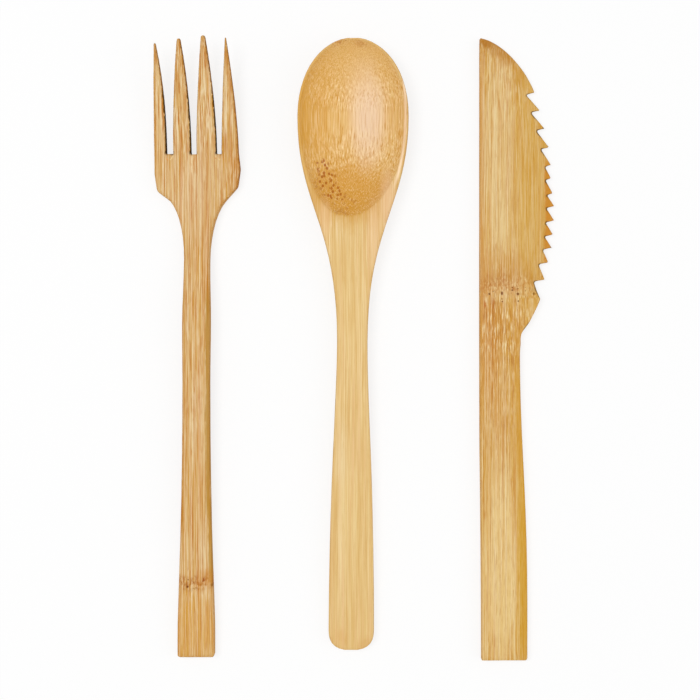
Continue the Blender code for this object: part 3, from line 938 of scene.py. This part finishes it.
    def roughen(self, relief: Relief) -> None:
        """Sink one layer of unevenness into the surface.

        Args:
            relief: The layer.
        """
        bpy.ops.object.empty_add(location=(0.0, 0.0, 0.0))
        stretch = bpy.context.view_layer.objects.active
        stretch.scale = relief.wave
        texture = bpy.data.textures.new(relief.name, "CLOUDS")
        texture.noise_scale = 1.0
        texture.noise_depth = relief.octaves
        layer = self.body.modifiers.new(relief.name, "DISPLACE")
        layer.texture = texture
        layer.texture_coords = "OBJECT"
        layer.texture_coords_object = stretch
        layer.mid_level = 1.0
        layer.strength = relief.depth
        bpy.context.view_layer.update()
        self.apply(layer)
        bpy.data.objects.remove(stretch)
        bpy.data.textures.remove(texture)

    def attribute(self, name: str, values: np.ndarray) -> None:
        """Store one value for each vertex where the finish can read it."""
        layer = self.body.data.attributes.new(name, "FLOAT", "POINT")
        layer.data.foreach_set("value", values.astype(np.float32))

    def mark_arrises(self) -> None:
        """Note how near each vertex is to an arris or to an inner corner."""
        outward, inward = self.bends()
        arris = self.spread(np.where(outward > inward, outward, -inward), self.arris_rounds)
        self.attribute("arris", np.clip(self.arris_gain * arris, 0.0, 1.0))
        # This mask places the painted shade of inner corners.
        nook = self.spread(inward, self.nook_rounds)
        self.attribute("nook", np.clip(self.nook_gain * (nook - self.nook_from), 0.0, 1.0))

    def top_height(self) -> np.ndarray:
        """Height of the piece's top at each vertex, evened along the piece.

        Returns:
            One height for each vertex, in metres.
        """
        places = self.points()
        start, end = places[:, 1].min(), places[:, 1].max()
        count = int((end - start) / self.station)
        index = np.minimum(((places[:, 1] - start) / self.station).astype(int), count - 1)
        heights = np.full(count, places[:, 2].min())
        np.maximum.at(heights, index, places[:, 2])
        kernel = np.ones(self.evened_over) / self.evened_over
        heights = np.convolve(np.pad(heights, self.evened_over // 2, mode="edge"), kernel, mode="valid")
        middles = start + self.station * (np.arange(count) + 0.5)
        return np.interp(places[:, 1], middles, heights)

    def mark_layers(self) -> None:
        """Note how high each vertex lies among the fibres, in millimetres."""
        base = self.top_height() if self.course is Course.TOP else 0.0
        self.attribute("layer", (self.points()[:, 2] - base) / MM)

    def mark_hollow(self) -> None:
        """Note that nothing is carved into the piece."""
        self.attribute("hollow", np.zeros(len(self.body.data.vertices)))

    def dress(self) -> None:
        """Give the piece its finish and its place in the frame."""
        self.body.data.materials.clear()
        self.body.data.materials.append(BambooPainter(self.finish).paint())
        bpy.ops.object.select_all(action="DESELECT")
        self.body.select_set(True)
        bpy.context.view_layer.objects.active = self.body
        bpy.ops.object.shade_smooth_by_angle(angle=self.sharp_angle)
        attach(self.body, "root")
        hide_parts(self.node)


PIN_TONE = Tone(112, 54, 14)

FORK_FINISH = BambooFinish(
    name="fork_bamboo_grain",
    pale=Tone(230, 203, 155),
    body=Tone(217, 176, 112),
    amber=Tone(204, 147, 60),
    light_line=Tone(237, 215, 171),
    dark_line=Tone(190, 114, 34),
    blush_line=Tone(224, 170, 124),
    light_dash=Tone(240, 218, 176),
    dark_dash=Tone(188, 112, 38),
    # Painted shade tone for the walls.
    wall=Tone(212, 168, 104),
    arris=Tone(186, 128, 42),
    arris_strength=0.30,
    dash_scale=(1.7, 0.11, 3.0),
    dash_strength=0.20,
    line_scale=4.8,
    line_strength=0.75,
    # Painted shade in inner corners, darkest in the slot roots.
    nook=Tone(60, 32, 10),
    nook_strength=0.75,
    specular=0.04,
    seed=3.0,
    figures=(
        Place(-50.8, -75.0, 6.0, 5.0, 0.5, 0.40),
        Place(-51.0, 84.0, 15.0, 22.0, 0.3, 0.60),
        Place(-39.5, 52.0, 3.5, 12.0, 0.5, 0.25),
        Place(-51.0, 0.0, 6.0, 26.0, 0.6, 0.20),
    ),
    grounds=(
        Patch(-51.5, 98.0, 14.0, 9.0, 0.5, 0.35, Tone(204, 146, 72)),
        Patch(-37.9, 55.5, 1.8, 6.5, 0.7, 0.80, Tone(194, 122, 30)),
        Patch(-42.0, 50.0, 5.0, 14.0, 0.6, 0.40, Tone(206, 154, 78)),
        Patch(-51.0, 52.0, 4.0, 14.0, 0.6, 0.40, Tone(228, 194, 150)),
        Patch(-51.0, -88.0, 7.5, 12.0, 0.5, 0.60, Tone(216, 162, 74)),
        Patch(-50.5, 36.0, 8.0, 9.0, 0.6, 0.30, Tone(208, 158, 88)),
    ),
    patches=(
        # Painted shade: the first two strips darken the handle's right chamfer, which faces away from the key
        # lamp.
        Patch(-46.6, -16.0, 0.75, 34.0, 0.3, 0.75, Tone(182, 134, 52), form=Form.STRIP),
        Patch(-45.9, -60.0, 0.70, 14.0, 0.3, 0.70, Tone(186, 138, 50), form=Form.STRIP),
        Patch(-55.1, -37.0, 0.45, 21.0, 0.3, 0.90, Tone(188, 122, 34), form=Form.STRIP),
        Patch(-47.0, -73.0, 2.4, 3.0, 0.7, 0.50, Tone(200, 128, 36)),
        Patch(-50.8, -75.7, 1.10, 0.22, 0.5, 0.75, Tone(170, 114, 48)),
        Patch(-48.1, -73.5, 0.42, 0.50, 0.5, 0.90, Tone(160, 80, 22)),
        # Painted shade: dark on the tines' right-facing walls, near-black next to the slot roots, away from
        # the key lamp.
        Patch(-52.0, 86.0, 11.0, 12.0, 5.0, 0.80, Tone(112, 66, 20), form=Form.STRIP, side=Side.RIGHT_WALL),
        Patch(-52.0, 71.0, 11.0, 10.0, 3.0, 1.0, Tone(14, 6, 2), form=Form.STRIP, side=Side.RIGHT_WALL),
        Patch(-37.2, 74.0, 3.0, 22.0, 3.0, 0.80, Tone(150, 88, 18), form=Form.STRIP, side=Side.RIGHT_WALL),
        Patch(-59.6, 60.9, 0.45, 0.35, 0.5, 0.8, Tone(232, 160, 92)),
        Patch(-58.3, 60.8, 0.45, 0.35, 0.5, 0.7, Tone(240, 214, 160)),
        Patch(-51.9, 59.2, 0.20, 2.60, 0.5, 0.8, Tone(242, 216, 168)),
        Patch(-51.2, 58.8, 0.20, 2.60, 0.5, 0.7, Tone(206, 140, 74)),
        Patch(-44.4, 60.6, 0.28, 0.35, 0.5, 0.7, Tone(212, 134, 60)),
        Patch(-43.2, 60.7, 0.45, 0.40, 0.5, 0.7, Tone(240, 206, 140)),
        Patch(-41.8, 60.6, 0.28, 0.35, 0.5, 0.7, Tone(218, 150, 72)),
    ),
    culms=(Culm(-50.8, -74.2, 0.04, 3.4, Tone(206, 158, 108), 0.9, PIN_TONE, (
        (-53.2, -75.5, 0.34, 0.42), (-53.0, -73.3, 0.16, 0.22), (-45.5, -74.9, 0.38, 0.55),
    )),),
)

SPOON_FINISH = BambooFinish(
    name="spoon_bamboo_grain",
    pale=Tone(233, 203, 140),
    body=Tone(225, 188, 119),
    amber=Tone(216, 172, 98),
    light_line=Tone(241, 216, 164),
    dark_line=Tone(204, 150, 74),
    blush_line=Tone(233, 190, 136),
    light_dash=Tone(244, 222, 178),
    dark_dash=Tone(204, 148, 50),
    # Painted shade tone for the walls.
    wall=Tone(225, 186, 124),
    arris=Tone(200, 144, 56),
    bundle=Tone(152, 46, 0),
    bundle_strength=1.0,
    specular=0.36,
    hollow=Tone(255, 245, 230),
    # Painted shade tone for inner corners.
    nook=Tone(190, 130, 60),
    nook_strength=0.30,
    dash_scale=(3.8, 0.05, 6.0),
    dash_strength=0.05,
    hollow_dashes=0.85,
    line_strength=0.28,
    fleck_strength=0.15,
    arris_strength=0.15,
    roughness=(0.38, 0.52),
    seed=60.0,
    bundles=(
        Place(-10.8, 57.4, 2.6, 2.4, 0.4, 0.9),
        Place(-8.8, 52.4, 3.4, 3.6, 0.4, 1.0),
        Place(-6.0, 49.0, 3.0, 2.8, 0.4, 1.0),
        Place(-2.6, 46.4, 3.4, 1.8, 0.5, 0.6),
    ),
    figures=(
        Place(0.0, 69.0, 15.0, 11.0, 0.5, 0.30),
        Place(0.0, 40.0, 14.0, 7.0, 0.6, 0.20),
        Place(9.5, 45.0, 5.0, 13.0, 0.5, 0.55),
        Place(-9.0, 39.0, 3.5, 8.0, 0.6, 0.45),
        Place(5.0, 18.0, 2.6, 14.0, 0.6, 0.30),
    ),
    grounds=(
        # Painted highlight: a pale sheen on the hollow's right wall, laid under the fibres.
        Patch(4.2, 74.5, 4.8, 13.0, 0.7, 0.65, Tone(244, 222, 200)),
        # Painted shade: the next two grounds darken the hollow's low end, whose wall faces the tip, and its
        # left wall, which faces away from the key lamp.
        Patch(-2.0, 49.0, 13.0, 9.0, 0.5, 0.60, Tone(206, 146, 30), side=Side.TOP),
        Patch(-14.0, 75.0, 6.0, 20.0, 0.6, 0.60, Tone(220, 167, 70)),
        Patch(-4.4, -34.0, 1.6, 9.0, 0.8, 0.45, Tone(238, 214, 166)),
        Patch(1.2, -33.0, 2.6, 7.0, 0.8, 0.40, Tone(216, 170, 102)),
        Patch(-4.6, -62.0, 0.9, 22.0, 0.7, 0.45, Tone(240, 214, 160)),
        Patch(3.4, -78.0, 2.2, 10.0, 0.8, 0.25, Tone(220, 178, 106)),
        Patch(-4.3, -91.5, 1.8, 2.4, 0.8, 0.50, Tone(218, 164, 88)),
        Patch(3.6, -94.4, 2.6, 1.8, 0.8, 0.50, Tone(210, 156, 76)),
    ),
    patches=(
        Patch(-1.0, 91.0, 14.0, 8.0, 0.6, 0.35, Tone(221, 170, 86), side=Side.TOP),
        # Painted shade: the next two patches darken the hollow's left wall and its low end, as in the
        # grounds.
        Patch(-13.0, 75.0, 6.0, 20.0, 0.6, 0.25, Tone(220, 167, 74)),
        Patch(-2.0, 49.0, 13.0, 9.0, 0.5, 0.42, Tone(204, 142, 10), side=Side.TOP),
        # Painted highlight: the next two patches are the sheen on the hollow's right wall.
        Patch(4.2, 73.0, 4.6, 11.0, 0.8, 0.34, Tone(234, 206, 182)),
        Patch(2.0, 84.0, 4.5, 8.0, 0.8, 0.24, Tone(240, 206, 166)),
        Patch(-17.0, 76.0, 2.4, 17.0, 0.5, 0.55, Tone(222, 166, 66)),
        Patch(10.4, 46.0, 2.4, 9.0, 0.6, 0.55, Tone(240, 200, 156)),
        Patch(6.0, 36.0, 2.0, 10.0, 0.7, 0.45, Tone(238, 196, 148)),
        Patch(-9.6, 41.0, 1.8, 6.0, 0.6, 0.40, Tone(236, 190, 138)),
        Patch(-4.4, 42.9, 2.2, 0.7, 0.6, 0.45, Tone(176, 112, 40)),
        # Painted shade: darker gold on the bowl's right-facing wall, away from the key lamp.
        Patch(12.0, 80.0, 11.0, 22.0, 1.5, 0.45, Tone(204, 144, 62), form=Form.STRIP, side=Side.RIGHT_WALL),
        Patch(-5.6, 97.0, 1.7, 0.9, 0.6, 0.75, Tone(186, 116, 48)),
        Patch(-2.9, 98.0, 0.9, 0.4, 0.6, 0.70, Tone(176, 106, 44)),
        Patch(2.0, 96.5, 1.9, 0.8, 0.7, 0.60, Tone(196, 134, 64)),
        # Painted highlight: a pale line along the bowl's rim.
        Patch(-3.0, 74.0, 18.9, 39.1, 0.036, 1.0, Tone(255, 224, 186), form=Form.RING, side=Side.TOP),
    ),
)

KNIFE_FINISH = BambooFinish(
    name="knife_bamboo_grain",
    pale=Tone(231, 203, 148),
    body=Tone(217, 176, 100),
    amber=Tone(206, 149, 54),
    light_line=Tone(241, 220, 170),
    dark_line=Tone(190, 118, 34),
    blush_line=Tone(221, 170, 112),
    light_dash=Tone(250, 232, 184),
    dark_dash=Tone(172, 100, 26),
    # Painted shade tone for the walls.
    wall=Tone(216, 176, 112),
    arris=Tone(200, 142, 50),
    # Painted shade tone for inner corners.
    nook=Tone(112, 82, 36),
    arris_strength=0.12,
    dash_scale=(3.4, 0.20, 3.4),
    dash_strength=0.16,
    line_strength=0.52,
    seed=120.0,
    figures=(
        Place(48.5, 9.0, 9.5, 13.0, 0.5, 0.55),
        Place(48.0, 94.0, 10.0, 8.0, 0.6, 0.15),
        Place(47.0, -16.0, 8.0, 16.0, 0.6, 0.15),
    ),
    grounds=(
        Patch(46.0, 62.0, 4.5, 34.0, 0.5, 0.40, Tone(232, 204, 150)),
        Patch(44.0, 96.0, 6.0, 5.0, 0.6, 0.50, Tone(200, 144, 60)),
        Patch(43.5, 8.0, 5.0, 8.0, 0.6, 0.45, Tone(196, 134, 64)),
        Patch(57.5, 12.0, 5.0, 10.0, 0.6, 0.55, Tone(212, 160, 60)),
        Patch(49.0, 22.8, 9.0, 2.4, 0.6, 0.35, Tone(184, 120, 46)),
        Patch(49.0, 26.5, 9.0, 4.5, 0.7, 0.45, Tone(196, 134, 52)),
        Patch(48.0, 6.0, 9.0, 9.0, 0.6, 0.60, Tone(204, 144, 40)),
        Patch(51.5, 19.5, 8.0, 2.6, 0.6, 0.45, Tone(234, 200, 146)),
        Patch(42.5, -2.0, 2.5, 16.0, 0.7, 0.45, Tone(202, 132, 56)),
        Patch(50.0, -20.0, 3.0, 20.0, 0.7, 0.40, Tone(212, 160, 64)),
        Patch(51.6, -53.0, 3.0, 7.0, 0.8, 0.45, Tone(208, 156, 68)),
        Patch(41.6, -82.0, 2.0, 16.0, 0.8, 0.40, Tone(218, 168, 92)),
        Patch(44.5, -14.0, 4.5, 24.0, 0.6, 0.42, Tone(204, 144, 72)),
        Patch(46.5, -70.0, 5.5, 30.0, 0.5, 0.60, Tone(238, 208, 144)),
        Patch(53.4, -52.0, 1.4, 46.0, 1.7, 0.70, Tone(210, 160, 40), form=Form.STRIP),
    ),
    patches=(
        Patch(42.2, 98.4, 3.6, 2.2, 0.6, 0.85, Tone(180, 116, 34)),
        Patch(46.6, 95.6, 2.6, 2.0, 0.7, 0.60, Tone(184, 122, 38)),
        Patch(49.4, 93.2, 2.6, 2.6, 0.7, 0.60, Tone(188, 126, 40)),
        Patch(52.6, 86.6, 2.2, 4.4, 0.7, 0.55, Tone(196, 138, 46)),
        Patch(40.3, 52.0, 0.8, 42.0, 0.8, 0.42, Tone(208, 154, 98), form=Form.STRIP),
        # Golden towards the belly and orange on the teeth: the wood's own tone, with painted shade of the
        # bevel that turns away from the key lamp.
        Patch(57.5, 58.0, 6.0, 44.0, 0.6, 0.50, Tone(208, 158, 62)),
        Patch(63.2, 44.0, 2.6, 16.0, 0.25, 0.80, Tone(204, 132, 36), form=Form.STRIP),
        Patch(53.8, -52.0, 1.4, 46.0, 1.7, 0.62, Tone(206, 152, 26), form=Form.STRIP),
        Patch(52.3, -16.0, 0.9, 24.0, 0.9, 0.50, Tone(206, 148, 56), form=Form.STRIP),
        Patch(41.2, 13.6, 0.26, 1.30, 0.5, 0.80, Tone(184, 92, 24)),
        Patch(44.0, 14.0, 0.32, 2.20, 0.5, 0.75, Tone(182, 106, 36)),
        # Painted shade: the next three patches darken right-facing walls away from the key lamp, along the
        # belly and teeth and in the gullet behind the heel, and paint the shadow under the small ledge on the
        # neck.
        Patch(21.3, 48.0, 39.6, 60.0, 0.03, 0.90, Tone(96, 66, 22), form=Form.RING, side=Side.RIGHT_WALL),
        Patch(58.1, 18.3, 1.2, 3.2, 0.4, 0.75, Tone(110, 82, 30), side=Side.RIGHT_WALL),
        Patch(54.6, 7.0, 2.0, 1.6, 0.5, 0.65, Tone(132, 106, 52), side=Side.RIGHT_WALL),
    ),
    culms=(Culm(50.0, 20.5, 0.0, 4.6, Tone(224, 182, 132), 0.9, PIN_TONE, (
        (42.8, 17.5, 0.32, 0.34), (44.0, 18.3, 0.16, 0.18), (46.8, 17.7, 0.36, 0.60),
        (46.8, 15.9, 0.18, 0.20), (46.9, 15.1, 0.22, 0.24), (50.1, 19.5, 0.22, 0.22),
        (50.1, 18.7, 0.28, 0.30), (51.9, 19.2, 0.18, 0.20), (51.9, 17.5, 0.46, 0.44),
        (52.0, 15.2, 0.20, 0.30), (54.3, 19.6, 0.14, 0.13), (54.3, 18.5, 0.16, 0.17),
        (55.5, 19.4, 0.14, 0.13), (57.0, 17.6, 0.38, 0.44),
    )),),
)


@dataclass(frozen=True)
class SawCut:
    """The end of a slot between two tines, sawn square: its two walls and its end."""

    left: float
    right: float
    end: float


@dataclass
class Fork(CutleryPiece):
    """The four-tined fork, its fibres bent with it."""

    node: str = "fork"
    slot: str = "fork_bamboo"
    finish: BambooFinish = FORK_FINISH
    course: Course = Course.TOP
    saw_cuts: tuple[SawCut, ...] = (
        SawCut(-59.97 * MM, -57.83 * MM, 62.00 * MM),
        SawCut(-52.17 * MM, -50.43 * MM, 61.90 * MM),
        SawCut(-44.02 * MM, -42.49 * MM, 62.00 * MM),
    )
    cut_length: float = 1.0 * MM
    cut_height: float = 8.0 * MM

    def shape(self) -> None:
        """Saw the slots' ends square."""
        for cut in self.saw_cuts:
            middle = ((cut.left + cut.right) / 2, cut.end + self.cut_length / 2, self.cut_height / 2)
            bpy.ops.object.select_all(action="DESELECT")
            bpy.ops.mesh.primitive_cube_add(size=1.0, location=middle)
            blade = bpy.context.view_layer.objects.active
            blade.scale = (cut.right - cut.left, self.cut_length, self.cut_height)
            sawing = self.body.modifiers.new("saw_cut", "BOOLEAN")
            sawing.operation = "DIFFERENCE"
            sawing.object = blade
            bpy.context.view_layer.update()
            self.apply(sawing)
            bpy.data.meshes.remove(blade.data)


@dataclass
class Spoon(CutleryPiece):
    """The spoon with the bowl carved down through its fibres."""

    node: str = "spoon"
    slot: str = "spoon_bamboo"
    finish: BambooFinish = SPOON_FINISH
    course: Course = Course.TOP
    bowl_middle: Pair = (-0.0007, 0.0700)
    bowl_reach: float = 0.036
    carved_from: float = 0.12 * MM
    carved_band: float = 0.30 * MM
    least_inward: float = -0.05
    least_upward: float = 0.1

    def mark_hollow(self) -> None:
        """Note how surely each vertex lies in the carved hollow."""
        places, normals = self.points(), self.points("normal")
        to_middle = np.array(self.bowl_middle) - places[:, :2]
        away = np.linalg.norm(to_middle, axis=1)
        inward = (to_middle * normals[:, :2]).sum(axis=1) / np.maximum(away, MM)
        depth = self.top_height() - places[:, 2]
        carved = np.clip((depth - self.carved_from) / self.carved_band, 0.0, 1.0)
        carved *= (inward > self.least_inward) & (normals[:, 2] > self.least_upward)
        carved *= away < self.bowl_reach
        self.attribute("hollow", self.spread(carved, 1))


@dataclass(frozen=True)
class Shaving:
    """A length of edge shaved by hand: its middle, its half length and the depth taken off or left on."""

    y: float
    half_length: float
    depth: float


@dataclass
class Knife(CutleryPiece):
    """The saw-toothed knife."""

    node: str = "knife"
    slot: str = "knife_bamboo"
    finish: BambooFinish = KNIFE_FINISH
    shaved_from: float = 46.0 * MM
    shaved_width: float = 6.0 * MM
    shavings: tuple[Shaving, ...] = (
        Shaving(4.7 * MM, 3.8 * MM, 0.56 * MM),
        Shaving(11.4 * MM, 7.6 * MM, -0.28 * MM),
    )

    def shape(self) -> None:
        """Shave the neck behind the heel to its hollow curve."""
        places = self.points()
        share = np.clip((places[:, 0] - self.shaved_from) / self.shaved_width, 0.0, 1.0)
        for shaving in self.shavings:
            away = (places[:, 1] - shaving.y) / shaving.half_length
            places[:, 0] -= shaving.depth * share * np.clip(1.0 - away ** 2, 0.0, 1.0) ** 2
        self.body.data.vertices.foreach_set("co", places.ravel())
        self.body.data.update()


class LampRole(Enum):
    """What a lamp is there for."""

    KEY = "key"
    FILL = "fill"
    TOP = "top"


@dataclass(frozen=True)
class Lamp:
    """A soft square lamp that faces the middle of the set."""

    role: LampRole
    place: Triple
    side: float
    watts: float

    def hang(self) -> None:
        """Add the lamp to the scene."""
        bpy.ops.object.light_add(type="AREA", location=self.place)
        lamp = bpy.context.view_layer.objects.active
        lamp.name = f"{self.role.value}_lamp"
        lamp.rotation_euler = Vector(self.place).to_track_quat("Z", "Y").to_euler()
        lamp.data.shape = "SQUARE"
        lamp.data.size = self.side
        lamp.data.energy = self.watts


@dataclass
class Studio:
    """The pale table, the soft lamps and the camera straight above the set."""

    camera_height: float = 0.450
    camera_x: float = -0.00160
    camera_y: float = -0.00036
    view_side: float = 0.2249
    floor_side: float = 3.0
    surround: float = 0.46
    floor_glow: float = 0.78
    floor_white: float = 0.96
    clip: Pair = (0.01, 10.0)
    lamps: tuple[Lamp, ...] = (
        Lamp(LampRole.KEY, (-0.35, 0.08, 0.95), 0.40, 3.6),
        Lamp(LampRole.FILL, (0.80, -0.10, 0.70), 0.80, 1.8),
        Lamp(LampRole.TOP, (0.0, 0.0, 1.20), 0.90, 2.4),
    )

    def build(self) -> None:
        """Set up the whole studio."""
        self.lay_floor()
        self.light_surround()
        for lamp in self.lamps:
            lamp.hang()
        self.place_camera()
        bpy.context.scene.view_settings.view_transform = "Standard"

    def seen(self, sheet: NodeSheet) -> Socket:
        """Tell what is seen, straight or mirrored, from what only gives light.

        Args:
            sheet: The node tree that asks.

        Returns:
            A socket that is 1 for a camera, glossy or transmitted ray and 0 for the rest.
        """
        path = sheet.node("ShaderNodeLightPath").outputs
        straight = sheet.math("MAXIMUM", path["Is Camera Ray"], path["Is Glossy Ray"])
        return sheet.math("MAXIMUM", straight, path["Is Transmission Ray"])

    def lay_floor(self) -> None:
        """Lay the pale table that the pieces rest on."""
        bpy.ops.mesh.primitive_plane_add(size=self.floor_side, location=(0.0, 0.0, 0.0))
        floor = bpy.context.view_layer.objects.active
        floor.name = "pale_table"
        material = bpy.data.materials.new("pale_table_top")
        material.use_nodes = True
        sheet = NodeSheet(material.node_tree)
        matt = sheet.node("ShaderNodeBsdfDiffuse")
        matt.inputs["Color"].default_value = (self.floor_white, self.floor_white, self.floor_white, 1.0)
        glow = sheet.node("ShaderNodeEmission")
        both = sheet.node("ShaderNodeMixShader")
        sheet.feed(both.inputs[0], sheet.math("MULTIPLY", self.seen(sheet), self.floor_glow))
        sheet.feed(both.inputs[1], matt.outputs[0])
        sheet.feed(both.inputs[2], glow.outputs[0])
        output = sheet.node("ShaderNodeOutputMaterial")
        sheet.feed(output.inputs["Surface"], both.outputs[0])
        floor.data.materials.append(material)

    def light_surround(self) -> None:
        """Light the set evenly from all round, and show white where the view leaves the table."""
        world = bpy.data.worlds.new("white_surround")
        world.use_nodes = True
        sheet = NodeSheet(world.node_tree)
        background = sheet.node("ShaderNodeBackground")
        background.inputs["Color"].default_value = (1.0, 1.0, 1.0, 1.0)
        level = sheet.math("MULTIPLY_ADD", self.seen(sheet), 1.0 - self.surround, self.surround)
        sheet.feed(background.inputs["Strength"], level)
        output = sheet.node("ShaderNodeOutputWorld")
        sheet.feed(output.inputs["Surface"], background.outputs[0])
        bpy.context.scene.world = world

    def place_camera(self) -> None:
        """Hang the camera straight above the set, its view as wide as the picture."""
        place = (self.camera_x, self.camera_y, self.camera_height)
        bpy.ops.object.camera_add(location=place, rotation=(0.0, 0.0, 0.0))
        camera = bpy.context.view_layer.objects.active
        camera.name = "view_from_above"
        camera.data.angle = 2 * math.atan(self.view_side / 2 / self.camera_height)
        camera.data.clip_start, camera.data.clip_end = self.clip
        bpy.context.scene.camera = camera


def main() -> None:
    """Load the frame, finish the three pieces and set up the studio."""
    logging.basicConfig(level=logging.INFO, format="%(name)s: %(message)s")
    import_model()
    for piece in (Fork(), Spoon(), Knife()):
        body = piece.build()
        log.info("%s: %d faces", body.name, len(body.data.polygons))
    Studio().build()
    log.info("studio ready")


if __name__ == "__main__":
    main()
